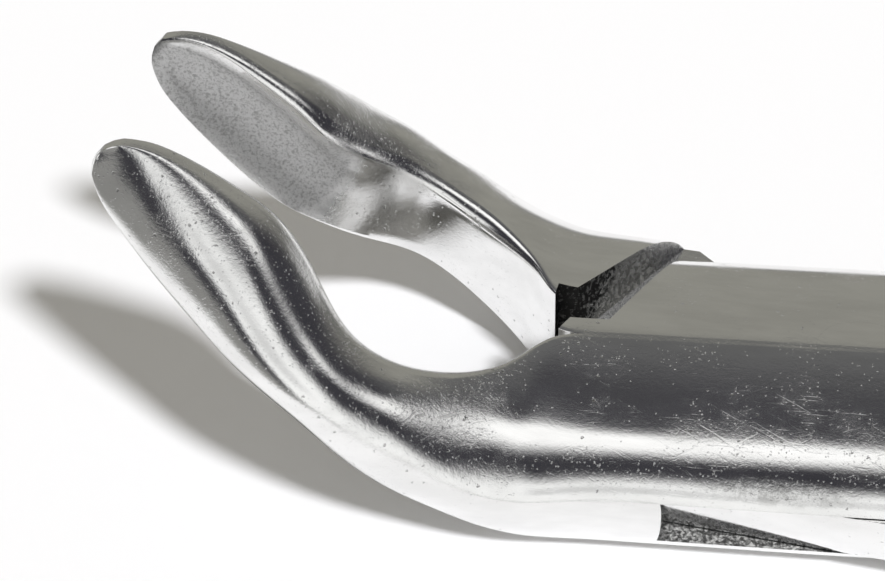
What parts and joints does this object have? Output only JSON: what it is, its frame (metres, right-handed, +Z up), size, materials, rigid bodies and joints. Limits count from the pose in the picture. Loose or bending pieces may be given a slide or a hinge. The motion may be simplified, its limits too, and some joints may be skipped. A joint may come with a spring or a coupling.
{
  "type": "dental extraction forceps",
  "caption": "Dental extraction forceps with a box joint: two crossing steel halves turn on a flush pin, with hollowed, roughened spoon beaks bent up and grooved handles.",
  "frame": {"origin": "on the resting plane, on the joint pin's axis", "axes": "+X toward the handle ends, midway between the halves; +Z up along the pin; +Y toward the tongue half's beak"},
  "size_m": [0.1752, 0.0522, 0.0211],
  "materials": {
    "polished_steel": "worn polish with fine pits and scratches",
    "roughened_steel": "matte, finely pitted"
  },
  "bodies": {
    "box_body": {"box_half": "polished_steel", "joint_pin": "polished_steel"},
    "tongue_body": {"tongue_half": "polished_steel"}
  },
  "joints": [
    {"name": "jaw_hinge", "type": "hinge", "parent": "box_body", "child": "tongue_body", "pos_m": [0, 0, 0.0035], "axis": [0, 0, -1], "range_deg": [-8, 20]}
  ]
}
